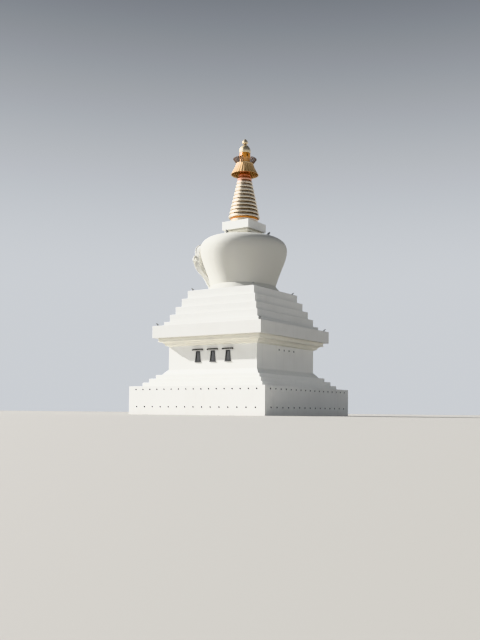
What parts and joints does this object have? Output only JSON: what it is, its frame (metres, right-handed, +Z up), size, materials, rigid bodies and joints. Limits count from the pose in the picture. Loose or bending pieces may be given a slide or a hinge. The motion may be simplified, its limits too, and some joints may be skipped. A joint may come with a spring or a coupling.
{
  "type": "stupa",
  "caption": "White square stupa with a windowed hall, stepped terraces, a round vase with a niche and a gilded ringed spire.",
  "frame": {"origin": "middle of the square base at ground level", "axes": "+Z up along the spire, -Y out of the front face with three windows, -X towards the niche in the vase"},
  "size_m": [18.5, 18.5, 33],
  "materials": {
    "white_plaster": "matte painted render",
    "charcoal_trim": "satin",
    "window_pane": "glossy",
    "gilding": "polished gilt",
    "lamp_housing": "satin"
  },
  "bodies": {
    "root": {"base_terrace": "white_plaster", "step_lower": "white_plaster", "step_middle": "white_plaster", "step_upper": "white_plaster", "hall_floor": "white_plaster", "wall_base_moulding": "white_plaster", "front_wall": "white_plaster", "back_wall": "white_plaster", "right_wall": "white_plaster", "left_wall": "white_plaster", "window_surround_front_left": "charcoal_trim", "window_pane_front_left": "window_pane", "window_hood_front_left": "charcoal_trim", "window_surround_front_middle": "charcoal_trim", "window_pane_front_middle": "window_pane", "window_hood_front_middle": "charcoal_trim", "window_surround_front_right": "charcoal_trim", "window_pane_front_right": "window_pane", "window_hood_front_right": "charcoal_trim", "window_surround_back_left": "charcoal_trim", "window_pane_back_left": "window_pane", "window_hood_back_left": "charcoal_trim", "window_surround_back_middle": "charcoal_trim", "window_pane_back_middle": "window_pane", "window_hood_back_middle": "charcoal_trim", "window_surround_back_right": "charcoal_trim", "window_pane_back_right": "window_pane", "window_hood_back_right": "charcoal_trim", "cornice_moulding": "white_plaster", "cornice_slab": "white_plaster", "terrace_1": "white_plaster", "terrace_2": "white_plaster", "terrace_3": "white_plaster", "terrace_4": "white_plaster", "terrace_5": "white_plaster", "vase_foot": "white_plaster", "vase": "white_plaster", "niche": "white_plaster", "harmika_neck": "white_plaster", "harmika_block": "white_plaster", "spire_base": "gilding", "spire_rings": "gilding", "parasol": "gilding", "crown_wings": "gilding", "crown_drum": "gilding", "orb": "gilding", "jewel": "gilding", "lamp_cornice_front_left": "lamp_housing", "lamp_cornice_front_right": "lamp_housing", "lamp_cornice_back_right": "lamp_housing", "lamp_cornice_back_left": "lamp_housing", "lamp_terrace_front_left": "lamp_housing", "lamp_terrace_front_right": "lamp_housing", "lamp_terrace_back_right": "lamp_housing", "lamp_terrace_back_left": "lamp_housing", "lamp_vase_front": "lamp_housing", "lamp_vase_right": "lamp_housing", "lamp_vase_back": "lamp_housing", "lamp_vase_left": "lamp_housing"}
  },
  "joints": []
}
